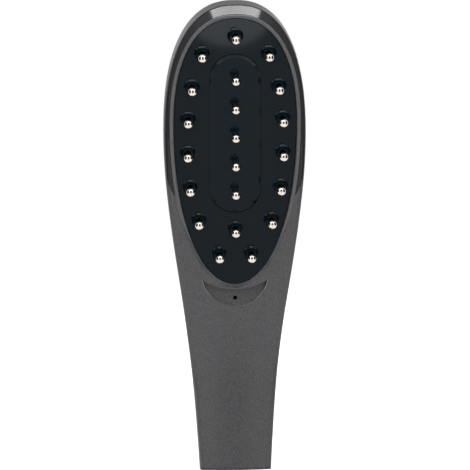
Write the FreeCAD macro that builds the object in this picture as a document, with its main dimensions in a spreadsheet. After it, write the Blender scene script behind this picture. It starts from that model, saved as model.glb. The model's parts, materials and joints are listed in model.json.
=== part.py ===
import FreeCAD, Part
import Sketcher
import math
import os

# Scalp serum applicator: a handle with a forward-leaning oval head that carries a panel of ball tips.
# Frame: the handle stands on its flat end at z = 0, the tips face -Y and +X is on their right.

V = FreeCAD.Vector
doc = FreeCAD.newDocument("applicator")
sheet = doc.addObject("Spreadsheet::Sheet", "Sizes")

# Driving sizes in mm, angles in degrees, counts and powers as plain numbers.
SIZES = (
    ("head_width", 60.5, "widest part of the head"),
    ("head_rise", 57.9, "widest part up to the top of the head"),
    ("head_power", 2.4, "roundness power of the top of the head"),
    ("widest_up", 6.35, "widest part above the middle of the panel"),
    ("outline_drop", 147.7, "widest part down to the handle end, in the plane of the panel"),
    ("end_width", 29.8, "width of the handle end"),
    ("tilt_angle", 12.0, "lean of the head, degrees"),
    ("bend_start", 38.0, "height where the handle begins to bend"),
    ("bend_radius", 182.0, "radius of the bend along the middle line"),
    ("head_along", 141.8, "handle end to the middle of the panel along the middle line"),
    ("front_depth", 12.5, "middle line to the front face"),
    ("handle_rear", 12.5, "middle line to the back of the handle"),
    ("head_rear", 9.5, "middle line to the back of the head"),
    ("handle_crown", 36.0, "cross radius of the handle front"),
    ("head_crown", 20000.0, "cross radius of the head front, almost flat"),
    ("fall_start", 27.0, "where the back of the head begins to fall away, above the middle of the panel"),
    ("fall_radius", 100.0, "radius of that fall"),
    ("handle_back_crown", 25.0, "cross radius of the handle back"),
    ("head_back_crown", 66.0, "cross radius of the head back"),
    ("form_start", 36.0, "where the handle section begins to change into the head section"),
    ("form_end", 96.0, "where it has become the head section"),
    ("form_widen", 20.0, "where the trimmed form begins to widen"),
    ("form_wide", 110.0, "where the trimmed form has its full width"),
    ("form_margin", 5.0, "how far the form reaches past the outline before it is trimmed"),
    ("front_round", 3.0, "edge radius at the front"),
    ("rear_round", 8.0, "edge radius at the back"),
    ("shoulder_slope", 33.0, "fall of the shoulder at the top of the head, degrees"),
    ("wall", 2.2, "casing wall"),
    ("frame_depth", 6.5, "depth of the head's front frame"),
    ("frame_start", 58.0, "where the front wall begins to thicken into the frame"),
    ("frame_end", 80.0, "where it has become the frame"),
    ("parting_depth", 11.0, "front face to the parting line of the shells"),
    ("seam_gap", 0.15, "gap along the visible seams"),
    ("seat_gap", 0.1, "gap where one fixed piece sits on another"),
    ("tool_reach", 30.0, "how far a cutting form reaches past what it cuts"),
    ("panel_margin", 4.3, "edge of the head to the panel at the widest part"),
    ("panel_rise", 46.7, "widest part of the panel up to its top"),
    ("panel_drop", 70.2, "widest part of the panel down to its lower point"),
    ("panel_up", 11.75, "widest part of the panel above its middle"),
    ("panel_power_up", 2.3, "roundness power of the upper panel"),
    ("panel_power_down", 2.05, "roundness power of the lower panel"),
    ("panel_set", 0.8, "panel face below the lip"),
    ("panel_thick", 2.4, "panel plate"),
    ("panel_gap", 0.3, "gap round the panel"),
    ("lip_width", 1.85, "panel edge to the crest of the lip"),
    ("lip_flat", 0.25, "crest of the lip to the trim band"),
    ("ledge_width", 1.5, "width of the ledge under the panel"),
    ("gasket_thick", 0.6, "panel gasket"),
    ("gasket_inset", 0.2, "panel edge to the gasket"),
    ("gasket_width", 1.1, "width of the gasket ring"),
    ("band_rim", 0.55, "casing edge left outside the trim band at the sides"),
    ("band_lift", 0.35, "how much narrower that edge is at the top"),
    ("band_depth", 3.4, "depth of the trim band's channel"),
    ("band_margin", 1.25, "reach past the edge of the head of the form that tapers the band"),
    ("band_up", 14.6, "middle of that form above the middle of the panel"),
    ("band_drop", 43.9, "reach of that form downwards"),
    ("band_rise", 90.0, "reach of that form upwards"),
    ("band_power", 3.0, "roundness power of that form"),
    ("boss_radius", 3.5, "foot of a tip boss"),
    ("boss_height", 2.7, "height of a tip boss above the panel"),
    ("boss_mouth", 1.95, "radius of the mouth round a tip"),
    ("boss_mouth_depth", 1.0, "depth of that mouth"),
    ("tip_clearance", 0.05, "running clearance round a tip stem"),
    ("stem_radius", 1.5, "tip stem"),
    ("ball_radius", 2.0, "ball end"),
    ("ball_height", 7.2, "panel face to the ball centre"),
    ("flange_radius", 2.3, "tip flange behind the panel"),
    ("flange_thick", 0.8, "tip flange"),
    ("tail_radius", 1.0, "tip tail inside its spring"),
    ("tail_length", 2.6, "tip tail"),
    ("spring_wall", 0.7, "thickness of the spring's ring"),
    ("spring_clear", 0.2, "clearance between spring and tail"),
    ("pocket_clear", 0.45, "clearance round the flange in its pocket"),
    ("pocket_floor", 1.0, "manifold left behind a pocket"),
    ("island_width", 22.4, "width of the centre island"),
    ("island_length", 70.1, "length of the centre island"),
    ("island_up", 8.0, "middle of the island above the middle of the panel"),
    ("island_thick", 1.0, "depth of the island in the panel"),
    ("island_proud", 0.5, "island face above the panel"),
    ("island_bevel", 1.25, "width of the bevel round the island"),
    ("island_gap", 0.3, "groove round the island"),
    ("island_pitch", 12.57, "pitch of the island pins"),
    ("island_pin_up", 7.6, "middle island pin above the middle of the panel"),
    ("island_pin_count", 5, "island pins"),
    ("pin_radius", 1.35, "stem of an island pin"),
    ("flange_reach", 1.3, "manifold flange outside the panel edge"),
    ("flange_plate", 2.0, "manifold flange"),
    ("screw_inset", 0.45, "screw line inside the panel edge"),
    ("screw_radius", 0.95, "screw shank"),
    ("screw_clear", 0.1, "clearance round the screw shank"),
    ("screw_grip", 1.7, "screw depth in the frame"),
    ("screw_head_radius", 1.7, "screw head"),
    ("screw_head_thick", 1.2, "screw head"),
    ("tank_inset", 3.0, "tank wall inside the panel edge"),
    ("tank_depth", 6.0, "depth of the tank"),
    ("tank_wall", 1.2, "tank wall"),
    ("neck_up", 20.0, "filling neck above the middle of the panel"),
    ("neck_radius", 5.0, "outside of the filling neck"),
    ("plug_radius", 3.4, "stem of the plug"),
    ("plug_clearance", 0.1, "clearance round the plug stem"),
    ("plug_stem", 4.2, "length of the plug stem"),
    ("plug_head_radius", 6.0, "plug head"),
    ("plug_head_thick", 1.3, "plug head"),
    ("plug_recess", 1.0, "recess for the plug head"),
    ("plug_recess_gap", 0.3, "gap round the plug head"),
    ("scoop_half_width", 13.85, "half width of the crescent"),
    ("scoop_tip_down", 56.9, "crescent tips below the middle of the panel"),
    ("scoop_top_down", 61.0, "upper edge of the crescent below the middle of the panel"),
    ("scoop_low_down", 68.0, "lower edge of the crescent below the middle of the panel"),
    ("scoop_depth", 1.3, "depth of the crescent at its upper edge"),
    ("pinhole_radius", 0.9, "pinhole"),
    ("pinhole_down", 64.8, "pinhole below the middle of the panel"),
    ("pipe_radius", 0.75, "light pipe"),
    ("pipe_inset", 1.1, "light pipe below the front face"),
    ("pipe_length", 15.0, "light pipe"),
    ("cap_thick", 0.6, "edge of the end cap that shows"),
    ("cap_floor", 1.6, "end cap plate inside the handle"),
    ("cap_plug", 4.8, "reach of the end cap inside the handle"),
    ("cap_plug_wall", 1.5, "rim of the end cap inside the handle"),
    ("board_width", 18.0, "circuit board"),
    ("board_thick", 1.2, "circuit board"),
    ("board_start", 3.0, "lower edge of the board above the handle end"),
    ("board_end", 80.0, "upper edge of the board above the handle end"),
    ("post_radius", 1.8, "board post"),
    ("post_apart", 12.0, "board posts across"),
    ("post_low", 13.0, "lower board posts above the handle end"),
    ("post_high", 52.0, "upper board posts above the handle end"),
    ("battery_radius", 4.5, "battery cell"),
    ("battery_length", 42.0, "battery cell"),
    ("battery_start", 11.0, "battery cell above the handle end"),
    ("battery_nub_radius", 1.6, "battery terminal"),
    ("battery_nub", 0.9, "battery terminal"),
    ("motor_radius", 3.2, "vibration motor"),
    ("motor_length", 12.0, "vibration motor"),
    ("motor_start", 57.0, "vibration motor above the handle end"),
    ("motor_side", 6.5, "vibration motor beside the middle"),
    ("shaft_radius", 0.5, "motor shaft"),
    ("shaft_clearance", 0.05, "running clearance of the motor shaft"),
    ("shaft_depth", 6.0, "motor shaft inside the can"),
    ("shaft_length", 11.0, "motor shaft"),
    ("weight_radius", 2.8, "eccentric weight"),
    ("weight_length", 3.4, "eccentric weight"),
    ("weight_gap", 0.6, "motor can to weight"),
    ("switch_width", 6.0, "tact switch"),
    ("switch_thick", 3.2, "tact switch"),
    ("switch_up", 30.0, "tact switch above the handle end"),
    ("plunger_radius", 1.5, "switch plunger"),
    ("plunger_clearance", 0.06, "running clearance of the plunger"),
    ("plunger_sunk", 0.9, "plunger inside the switch at rest"),
    ("button_width", 12.0, "power button"),
    ("button_length", 20.0, "power button"),
    ("button_gap", 0.3, "gap round the power button"),
    ("button_proud", 0.5, "power button above the casing"),
    ("button_flange", 1.2, "flange of the button outside its pad"),
    ("button_flange_thick", 1.0, "flange of the button"),
    ("button_flange_back", 3.6, "back of the handle to the button flange"),
    ("button_travel", 0.8, "stroke of the power button"),
    ("port_width", 8.9, "charging port"),
    ("port_height", 3.2, "charging port"),
    ("port_length", 7.0, "charging port"),
    ("port_wall", 0.3, "charging port shell"),
    ("port_inset", 0.4, "charging port inside the end cap face"),
    ("port_gap", 0.2, "gap round the charging port"),
    ("tongue_width", 6.6, "port tongue"),
    ("tongue_thick", 0.7, "port tongue"),
    ("tongue_length", 5.0, "port tongue"),
)

# Half width of the casing below its widest part: share of the drop, share of the narrowing left.
side_shares = (
    (0.0, 1.0), (0.12, 0.954), (0.24, 0.838), (0.36, 0.681), (0.48, 0.507), (0.6, 0.346),
    (0.717, 0.208), (0.83, 0.111), (0.943, 0.037), (1.0, 0.004), (1.07, -0.03),
)
# First and last station of the form along the middle line, as shares of the way to the middle of the panel.
station_shares = (-0.045, 1.52)
station_count = 26
# Right-hand tips: share of the half panel width, share of the half panel length from the middle.
pair_shares = (
    (0.547, 0.738), (0.711, 0.488), (0.778, 0.244), (0.78, -0.013),
    (0.742, -0.271), (0.597, -0.523), (0.262, -0.78),
)
# Tips on the middle line: share of the half panel length.
middle_shares = (0.871, -0.588)
# Profile of a tip boss: share of its foot radius, share of its height.
boss_shares = ((1.0, 0.0), (0.85, 0.12), (0.75, 0.36), (0.7, 0.78), (0.68, 0.92), (0.63, 1.0))
# Screws round the panel: turn shares from the +X side.
screw_shares = (0.05, 0.45, 0.6, 0.9)

curve_steps = 24
solid_names = []


def fill_sheet():
    for row, (name, value, note) in enumerate(SIZES, 1):
        sheet.set("A%d" % row, note)
        sheet.set("B%d" % row, str(value))
        sheet.setAlias("B%d" % row, name)
    doc.recompute()


def size(name):
    return float(getattr(sheet, name))


fill_sheet()


# Small helpers for document objects
def add(kind, name, **values):
    obj = doc.addObject(kind, name)
    for key, value in values.items():
        setattr(obj, key, value)
    return obj


def bind(obj, **expressions):
    for key, expression in expressions.items():
        obj.setExpression(key.replace("__", "."), expression)
    return obj


def held(name, shape):
    return add("Part::Feature", name, Shape=shape)


def cut(name, base, tool):
    return add("Part::Cut", name, Base=base, Tool=tool, Refine=False)


def common(name, base, tool):
    return add("Part::Common", name, Base=base, Tool=tool, Refine=False)


def fuse(name, shapes):
    return add("Part::MultiFuse", name, Shapes=shapes)


def extruded(name, wire, direction, length):
    prism = add("Part::Extrusion", name, Base=held(name + "_outline", wire), Solid=True)
    prism.DirMode = "Custom"
    prism.Dir = direction
    return bind(prism, LengthFwd=length)


def node(obj, name):
    obj.Label = name
    solid_names.append((name, obj))
    return obj


def placed(x, y, z, axis=V(1, 0, 0), angle=0):
    return FreeCAD.Placement(V(x, y, z), FreeCAD.Rotation(axis, angle))


# Middle line of the casing and the frame of the head
def spine(along):
    lean = math.radians(size("tilt_angle"))
    start = size("bend_start")
    radius = size("bend_radius")
    if along <= start:
        return 0.0, along, 0.0
    turn = min((along - start) / radius, lean)
    past = max(along - start - radius * lean, 0.0)
    y = -radius * (1 - math.cos(turn)) - past * math.sin(lean)
    z = start + radius * math.sin(turn) + past * math.cos(lean)
    return y, z, turn


def head_frame():
    lean = math.radians(size("tilt_angle"))
    y, z, _ = spine(size("head_along"))
    depth = size("front_depth")
    return placed(0, y - depth * math.cos(lean), z - depth * math.sin(lean), V(1, 0, 0), size("tilt_angle"))


HEAD = head_frame()
INWARD = HEAD.Rotation.multVec(V(0, 1, 0))


def on_head(x, y, up, outward=False):
    turn = placed(x, y, up, V(1, 0, 0), 90 if outward else 0)
    return HEAD.multiply(turn)


def ease(value, start, end):
    u = min(max((value - start) / (end - start), 0), 1)
    return u * u * u * (u * (6 * u - 15) + 10)


def mix(first, second, share):
    return first * (1 - share) + second * share


# Outlines in the plane of the panel, as points (x, 0, up)
def power_point(angle, half_width, reach, power):
    c = math.cos(angle)
    s = math.sin(angle)
    x = half_width * math.copysign(abs(c) ** (2 / power), c)
    return x, reach * math.copysign(abs(s) ** (2 / power), s)


def casing_points():
    half = size("head_width") / 2
    end = size("end_width") / 2
    widest = size("widest_up")
    drop = size("outline_drop")
    right = [V(mix(end, half, left), 0, widest - drop * way) for way, left in reversed(side_shares)]
    top = []
    for i in range(1, curve_steps):
        x, up = power_point(math.pi * i / curve_steps, half, size("head_rise"), size("head_power"))
        top.append(V(x, 0, widest + up))
    left = [V(-p.x, 0, p.z) for p in reversed(right)]
    return right + top + left


def egg_points(half_width, rise, drop, middle, power_up, power_down):
    points = []
    for i in range(2 * curve_steps):
        angle = math.pi * i / curve_steps
        reach, power = (rise, power_up) if i <= curve_steps else (drop, power_down)
        x, up = power_point(angle, half_width, reach, power)
        points.append(V(x, 0, middle + up))
    return points


def panel_half():
    return size("head_width") / 2 - size("panel_margin")


def panel_points():
    return egg_points(
        panel_half(), size("panel_rise"), size("panel_drop"), size("panel_up"),
        size("panel_power_up"), size("panel_power_down"),
    )


def taper_points():
    half_width = size("head_width") / 2 + size("band_margin")
    return egg_points(
        half_width, size("band_rise"), size("band_drop"), size("band_up"),
        size("band_power"), size("band_power"),
    )


def grown(points, distance, closed):
    count = len(points)
    result = []
    for i, p in enumerate(points):
        before = points[i - 1] if closed or i > 0 else p
        after = points[(i + 1) % count] if closed or i + 1 < count else p
        along = after.sub(before)
        along.normalize()
        result.append(V(p.x + along.z * distance, 0, p.z - along.x * distance))
    return result


def outline_wire(points, closed, depth):
    shifted = [V(p.x, depth, p.z) for p in points]
    curve = Part.BSplineCurve()
    if closed:
        curve.interpolate(Points=shifted, PeriodicFlag=True)
        return Part.Wire([curve.toShape()])
    curve.interpolate(Points=shifted)
    return Part.Wire([curve.toShape(), Part.makeLine(shifted[-1], shifted[0])])


def egg_wire(grow, depth):
    return outline_wire(grown(panel_points(), grow, True), True, depth)


def stadium_wire(width, length, middle, depth):
    half = width / 2
    flat = (length - width) / 2
    right = Part.makeLine(V(half, depth, middle - flat), V(half, depth, middle + flat))
    left = Part.makeLine(V(-half, depth, middle + flat), V(-half, depth, middle - flat))
    summit = V(0, depth, middle + flat + half)
    bottom = V(0, depth, middle - flat - half)
    top = Part.Arc(right.Vertexes[1].Point, summit, left.Vertexes[0].Point).toShape()
    low = Part.Arc(left.Vertexes[1].Point, bottom, right.Vertexes[0].Point).toShape()
    return Part.Wire([right, top, left, low])


def head_prism(name, wire, length):
    prism = extruded(name, wire, INWARD, length)
    prism.Base.Placement = HEAD
    return prism


# Casing form: crowned sections lofted along the middle line, trimmed to the outline and rounded
def back_fall(along):
    above = min(along - size("head_along"), size("widest_up") + size("head_rise"))
    return max(above - size("fall_start"), 0.0) ** 2 / (2 * size("fall_radius"))


def section(along, front_inset, rear_inset):
    y, z, turn = spine(along)
    share = ease(along, size("form_start"), size("form_end"))
    front = size("front_depth") - front_inset
    rear = mix(size("handle_rear"), size("head_rear"), share) - back_fall(along) - rear_inset
    front_bend = mix(1 / size("handle_crown"), 1 / size("head_crown"), share)
    rear_bend = mix(1 / size("handle_back_crown"), 1 / size("head_back_crown"), share)
    widening = ease(along, size("form_widen"), size("form_wide"))
    half = mix(size("end_width"), size("head_width"), widening) / 2 + size("form_margin")
    front_edge = -front + front_bend * half * half / 2
    rear_edge = max(rear - rear_bend * half * half / 2, front_edge + size("wall"))
    edges = [
        Part.Arc(V(-half, front_edge, 0), V(0, -front, 0), V(half, front_edge, 0)).toShape(),
        Part.makeLine(V(half, front_edge, 0), V(half, rear_edge, 0)),
        Part.Arc(V(half, rear_edge, 0), V(0, rear, 0), V(-half, rear_edge, 0)).toShape(),
        Part.makeLine(V(-half, rear_edge, 0), V(-half, front_edge, 0)),
    ]
    wire = Part.Wire(edges)
    wire.Placement = placed(0, y, z, V(1, 0, 0), math.degrees(turn))
    return wire


def stations(late=1):
    first, last = station_shares
    first /= late
    shares = [mix(first, last, i / (station_count - 1)) for i in range(station_count)]
    return [share * size("head_along") for share in shares]


def crowned_slab(front_inset, rear_inset, late=1):
    wires = [section(a, front_inset(a), rear_inset(a)) for a in stations(late)]
    return Part.makeLoft(wires, True, False)


def flat_section(along, front, rear):
    y, z, turn = spine(along)
    half = size("head_width") / 2 + size("form_margin") + size("tool_reach")
    corners = [V(-half, -front, 0), V(half, -front, 0), V(half, rear, 0), V(-half, rear, 0)]
    wire = Part.makePolygon(corners + corners[:1])
    wire.Placement = placed(0, y, z, V(1, 0, 0), math.degrees(turn))
    return wire


def flat_slab(front, rear):
    return Part.makeLoft([flat_section(a, front, rear) for a in stations()], True, False)


def outline_prism(grow, lift=0.0):
    reach = size("tool_reach")
    wire = outline_wire(grown(casing_points(), grow, False), False, -reach)
    wire.translate(V(0, 0, lift))
    solid = Part.Face(wire).extrude(V(0, 3 * reach, 0))
    solid.Placement = HEAD
    return solid


def long_edges(solid):
    longest = max(e.Length for e in solid.Edges)
    edges = [e for e in solid.Edges if e.Length > longest / 2]
    return sorted(edges, key=lambda e: e.BoundBox.Center.y)


def flush(along):
    return 0.0


def shoulder_form():
    slope = math.tan(math.radians(size("shoulder_slope")))
    crest = size("lip_width") + size("lip_flat") / 2
    high = -size("panel_set")
    low = 2 * size("front_round")
    rings = [egg_wire(crest + depth / slope, depth) for depth in (high, low)]
    wide = 2 * size("head_width")
    block = Part.makeBox(wide, low - high, wide, V(-wide / 2, high, size("widest_up")))
    solid = block.cut(Part.makeLoft(rings, True, True))
    solid.Placement = HEAD
    return solid


def outer_form():
    solid = crowned_slab(flush, flush).common(outline_prism(0.0)).Solids[0]
    solid = solid.makeFillet(size("front_round"), long_edges(solid)[:1])
    solid = solid.makeFillet(size("rear_round"), long_edges(solid)[-1:])
    return solid.cut(shoulder_form()).Solids[0]


def inner_form(shrink=0.0):
    wall = size("wall") + shrink

    def front_inset(along):
        thick = ease(along, size("frame_start"), size("frame_end"))
        return mix(wall, size("frame_depth") + shrink, thick)

    solid = crowned_slab(front_inset, lambda along: wall, 2).common(outline_prism(-wall)).Solids[0]
    return solid.makeFillet(size("rear_round") - wall, long_edges(solid)[-1:])


def layer(name, start, end):
    wide = 2 * (size("head_width") + size("tool_reach"))
    box = add("Part::Box", name, Length=wide, Width=wide, Height=end - start)
    box.Placement = placed(-wide / 2, -wide / 2, start)
    return box


def tall():
    return 2 * (size("head_along") + size("head_rise"))


OUTER = held("outer_form", outer_form())
INNER = held("inner_form", inner_form())


# Sketched bodies: every corner of a profile is tied to the sheet
def corner_sketch(body, name, role, corners):
    sketch = body.newObject("Sketcher::SketchObject", name)
    plane = [f for f in body.Origin.OriginFeatures if f.Role == role][0]
    sketch.AttachmentSupport = [(plane, "")]
    sketch.MapMode = "FlatFace"
    count = len(corners)
    for i in range(count):
        turn = 2 * math.pi / count
        first = V(math.cos(i * turn), math.sin(i * turn), 0)
        second = V(math.cos((i + 1) * turn), math.sin((i + 1) * turn), 0)
        sketch.addGeometry(Part.LineSegment(first, second), False)
    for i in range(count):
        sketch.addConstraint(Sketcher.Constraint("Coincident", i, 2, (i + 1) % count, 1))
    for i, (across, up) in enumerate(corners):
        for kind, expression in (("DistanceX", across), ("DistanceY", up)):
            index = sketch.addConstraint(Sketcher.Constraint(kind, -1, 1, i, 1, 1.0))
            sketch.setExpression("Constraints[%d]" % index, expression)
    return sketch


def turned_body(name, corners):
    body = doc.addObject("PartDesign::Body", name)
    sketch = corner_sketch(body, name + "_profile", "XZ_Plane", corners)
    turn = body.newObject("PartDesign::Revolution", name + "_turn")
    turn.Profile = sketch
    turn.ReferenceAxis = (sketch, ["V_Axis"])
    turn.Angle = 360
    body.Tip = turn
    return body


def padded_body(name, role, corners, length):
    body = doc.addObject("PartDesign::Body", name)
    sketch = corner_sketch(body, name + "_profile", role, corners)
    pad = body.newObject("PartDesign::Pad", name + "_pad")
    pad.Profile = sketch
    pad.setExpression("Length", length)
    body.Tip = pad
    return body


def rectangle(half_width, low, high):
    left = "-(" + half_width + ")"
    return ((left, low), (half_width, low), (half_width, high), (left, high))


# Positions on the panel, as (x, up)
def tip_places():
    half_width = panel_half()
    half_length = (size("panel_rise") + size("panel_drop")) / 2
    middle = size("panel_up") + (size("panel_rise") - size("panel_drop")) / 2
    places = [(0.0, middle + half_length * middle_shares[0])]
    for across, up in pair_shares:
        places.append((-half_width * across, middle + half_length * up))
        places.append((half_width * across, middle + half_length * up))
    places.append((0.0, middle + half_length * middle_shares[1]))
    return places


def island_places():
    count = int(size("island_pin_count"))
    return [(0.0, size("island_pin_up") + size("island_pitch") * ((count - 1) / 2 - i)) for i in range(count)]


def screw_places():
    points = grown(panel_points(), -size("screw_inset"), True)
    return [(points[int(s * len(points))].x, points[int(s * len(points))].z) for s in screw_shares]


def repeated(name, shape, places, depth):
    copies = []
    for x, up in places:
        copy = shape.copy()
        copy.Placement = on_head(x, depth, up, True)
        copies.append(copy)
    return held(name, Part.makeCompound(copies))


def round_tool(radius, length):
    return Part.makeCylinder(radius, length)


# Depths behind the front face of the head
PANEL_BACK = size("panel_set") + size("panel_thick")
LEDGE_FRONT = PANEL_BACK + size("gasket_thick") + 2 * size("seat_gap")
MANIFOLD_FRONT = PANEL_BACK + 2 * size("seat_gap")
FLANGE_FRONT = size("frame_depth") + size("seat_gap")
MANIFOLD_BACK = FLANGE_FRONT + size("flange_plate")
TIP_FLANGE = PANEL_BACK + size("seat_gap")
TIP_END = TIP_FLANGE + size("flange_thick") + size("tail_length")
POCKET_FLOOR = MANIFOLD_BACK - size("pocket_floor")
TANK_FRONT = MANIFOLD_BACK + size("seat_gap")
TANK_BACK = TANK_FRONT + size("tank_depth")
HEAD_BACK = size("front_depth") + size("head_rear")


# Ball tips and island pins
def make_tip():
    flange_low = "Sizes.tail_length"
    flange_high = "Sizes.tail_length + Sizes.flange_thick"
    ball_up = flange_high + " + Sizes.seat_gap + Sizes.panel_thick + Sizes.ball_height"
    stem = turned_body("tip_stem", (
        ("0", "0"), ("Sizes.tail_radius", "0"), ("Sizes.tail_radius", flange_low),
        ("Sizes.flange_radius", flange_low), ("Sizes.flange_radius", flange_high),
        ("Sizes.stem_radius", flange_high), ("Sizes.stem_radius", ball_up), ("0", ball_up),
    ))
    ball = add("Part::Sphere", "tip_ball")
    bind(ball, Radius="Sizes.ball_radius", Placement__Base__z=ball_up)
    return fuse("tip_form", [stem, ball])


def make_pin():
    pin_top = "Sizes.panel_thick + Sizes.ball_height - Sizes.seat_gap"
    stem = add("Part::Cylinder", "pin_stem")
    bind(stem, Radius="Sizes.pin_radius", Height=pin_top)
    ball = add("Part::Sphere", "pin_ball")
    bind(ball, Radius="Sizes.ball_radius", Placement__Base__z=pin_top)
    return fuse("pin_form", [stem, ball])


def make_boss():
    corners = [("0", "0")]
    for wide, high in boss_shares:
        corners.append(("Sizes.boss_radius * %g" % wide, "Sizes.boss_height * %g" % high))
    corners.append(("0", "Sizes.boss_height"))
    return turned_body("boss_form", corners)


def make_screw():
    shank_low = "Sizes.screw_head_thick"
    shank_high = "Sizes.screw_head_thick + Sizes.flange_plate + 2 * Sizes.seat_gap + Sizes.screw_grip"
    return turned_body("screw_form", (
        ("0", "0"), ("Sizes.screw_head_radius", "0"), ("Sizes.screw_head_radius", shank_low),
        ("Sizes.screw_radius", shank_low), ("Sizes.screw_radius", shank_high), ("0", shank_high),
    ))


TIP = make_tip()
PIN = make_pin()
BOSS = make_boss()
SCREW = make_screw()
doc.recompute()


# Contact panel with its bosses, the island and the gasket
def island_wire(inset, depth):
    width = size("island_width") - 2 * inset
    return stadium_wire(width, size("island_length") - 2 * inset, size("island_up"), depth)


def contact_panel():
    plate = head_prism("panel_plate", egg_wire(0.0, size("panel_set")), "Sizes.panel_thick")
    raised = [plate]
    for i, (x, up) in enumerate(tip_places(), 1):
        boss = held("boss_%02d" % i, BOSS.Shape.copy())
        boss.Placement = on_head(x, size("panel_set"), up, True)
        raised.append(boss)
    solid = fuse("panel_raised", raised)
    reach = size("boss_height") + size("panel_thick") + size("tool_reach")
    bore = round_tool(size("stem_radius") + size("tip_clearance"), reach)
    mouth = round_tool(size("boss_mouth"), reach)
    pin_bore = round_tool(size("pin_radius") + size("tip_clearance"), reach)
    mouth_floor = size("panel_set") - size("boss_height") + size("boss_mouth_depth")
    start = PANEL_BACK + size("seat_gap")
    solid = cut("panel_bored", solid, repeated("tip_bores", bore, tip_places(), start))
    solid = cut("panel_mouths", solid, repeated("tip_mouths", mouth, tip_places(), mouth_floor))
    solid = cut("panel_pinned", solid, repeated("pin_bores", pin_bore, island_places(), start))
    wire = island_wire(0.0, size("panel_set") - size("island_thick"))
    well = head_prism("island_well", wire, "2 * Sizes.island_thick + Sizes.seat_gap")
    node(cut("panel_solid", solid, well), "contact_panel")


def centre_island():
    gap = size("island_gap")
    face = size("panel_set")
    rings = [
        held("island_back", island_wire(gap, face + size("island_thick"))),
        held("island_edge", island_wire(gap, face)),
        held("island_face", island_wire(gap + size("island_bevel"), face - size("island_proud"))),
    ]
    for ring in rings:
        ring.Placement = HEAD
    plate = add("Part::Loft", "island_plate", Sections=rings, Solid=True, Ruled=True)
    bore = round_tool(size("pin_radius") + size("tip_clearance"), size("tool_reach"))
    bores = repeated("island_bores", bore, island_places(), PANEL_BACK)
    node(cut("island_solid", plate, bores), "centre_island")


def panel_gasket():
    start = PANEL_BACK + size("seat_gap")
    ring = head_prism("gasket_outer", egg_wire(-size("gasket_inset"), start), "Sizes.gasket_thick")
    hole_grow = -size("gasket_inset") - size("gasket_width")
    hole = head_prism("gasket_hole", egg_wire(hole_grow, start - size("seat_gap")), "2 * Sizes.gasket_thick")
    node(cut("gasket_solid", ring, hole), "panel_gasket")


def ball_tips():
    for i, (x, up) in enumerate(tip_places(), 1):
        tip = held("tip_%02d" % i, TIP.Shape.copy())
        tip.Placement = on_head(x, TIP_END, up, True)
        node(tip, "valve_tip_%02d" % i)
    for i, (x, up) in enumerate(island_places(), 1):
        pin = held("pin_%d" % i, PIN.Shape.copy())
        pin.Placement = on_head(x, PANEL_BACK - size("seat_gap"), up, True)
        node(pin, "island_pin_%d" % i)


def tip_springs():
    inner = size("tail_radius") + size("spring_clear")
    outer = inner + size("spring_wall")
    start = TIP_FLANGE + size("flange_thick") + size("seat_gap")
    length = POCKET_FLOOR - size("seat_gap") - start
    ring = round_tool(outer, length).cut(round_tool(inner, length))
    node(repeated("spring_set", ring, tip_places(), POCKET_FLOOR - size("seat_gap")), "tip_springs")


# Manifold, tank, plug and screws behind the panel
def valve_manifold():
    inset = -size("ledge_width") - size("panel_gap")
    core = head_prism("manifold_core", egg_wire(inset, MANIFOLD_FRONT), "Sizes.frame_depth")
    trim = head_prism("manifold_trim", egg_wire(size("flange_reach"), MANIFOLD_BACK), "Sizes.frame_depth")
    core = cut("manifold_front", core, trim)
    flange = head_prism("manifold_flange", egg_wire(size("flange_reach"), FLANGE_FRONT), "Sizes.flange_plate")
    solid = fuse("manifold_block", [core, flange])
    reach = size("tool_reach")
    pocket = round_tool(size("flange_radius") + size("pocket_clear"), reach)
    duct = round_tool(size("tail_radius") + size("spring_clear"), reach)
    hole = round_tool(size("screw_radius") + size("screw_clear"), reach)
    back = MANIFOLD_BACK + size("seat_gap")
    solid = cut("manifold_pockets", solid, repeated("tip_pockets", pocket, tip_places(), POCKET_FLOOR))
    solid = cut("manifold_ducts", solid, repeated("tip_ducts", duct, tip_places(), back))
    node(cut("manifold_solid", solid, repeated("screw_ways", hole, screw_places(), back)), "valve_manifold")


def serum_tank():
    body = head_prism("tank_body", egg_wire(-size("tank_inset"), TANK_FRONT), "Sizes.tank_depth")
    neck = add("Part::Cylinder", "tank_neck")
    bind(neck, Radius="Sizes.neck_radius")
    neck.Height = HEAD_BACK - size("wall") - 2 * size("panel_gap") - TANK_BACK + size("tank_wall")
    neck.Placement = on_head(0.0, TANK_BACK - size("tank_wall") + neck.Height.Value, size("neck_up"), True)
    solid = fuse("tank_raised", [body, neck])
    inside = egg_wire(-size("tank_inset") - size("tank_wall"), TANK_FRONT - size("tank_wall"))
    hollow = head_prism("tank_hollow", inside, "Sizes.tank_depth")
    solid = cut("tank_shell", solid, hollow)
    bore = round_tool(size("plug_radius") + size("plug_clearance"), size("tool_reach"))
    way = repeated("neck_bore", bore, [(0.0, size("neck_up"))], HEAD_BACK)
    node(cut("tank_solid", solid, way), "serum_tank")


def fill_plug():
    high = "Sizes.plug_head_thick + Sizes.plug_stem"
    plug = turned_body("plug_form", (
        ("0", "0"), ("Sizes.plug_head_radius - Sizes.seam_gap * 2", "0"),
        ("Sizes.plug_head_radius", "Sizes.seam_gap * 2"), ("Sizes.plug_head_radius", "Sizes.plug_head_thick"),
        ("Sizes.plug_radius", "Sizes.plug_head_thick"), ("Sizes.plug_radius", high), ("0", high),
    ))
    seat = HEAD_BACK - size("plug_recess") + size("seat_gap")
    plug.Placement = on_head(0.0, seat + size("plug_head_thick"), size("neck_up"), True)
    node(plug, "fill_plug")


def manifold_screws():
    start = MANIFOLD_BACK + size("seat_gap") + size("screw_head_thick")
    node(repeated("screw_set", SCREW.Shape, screw_places(), start), "manifold_screws")


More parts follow.
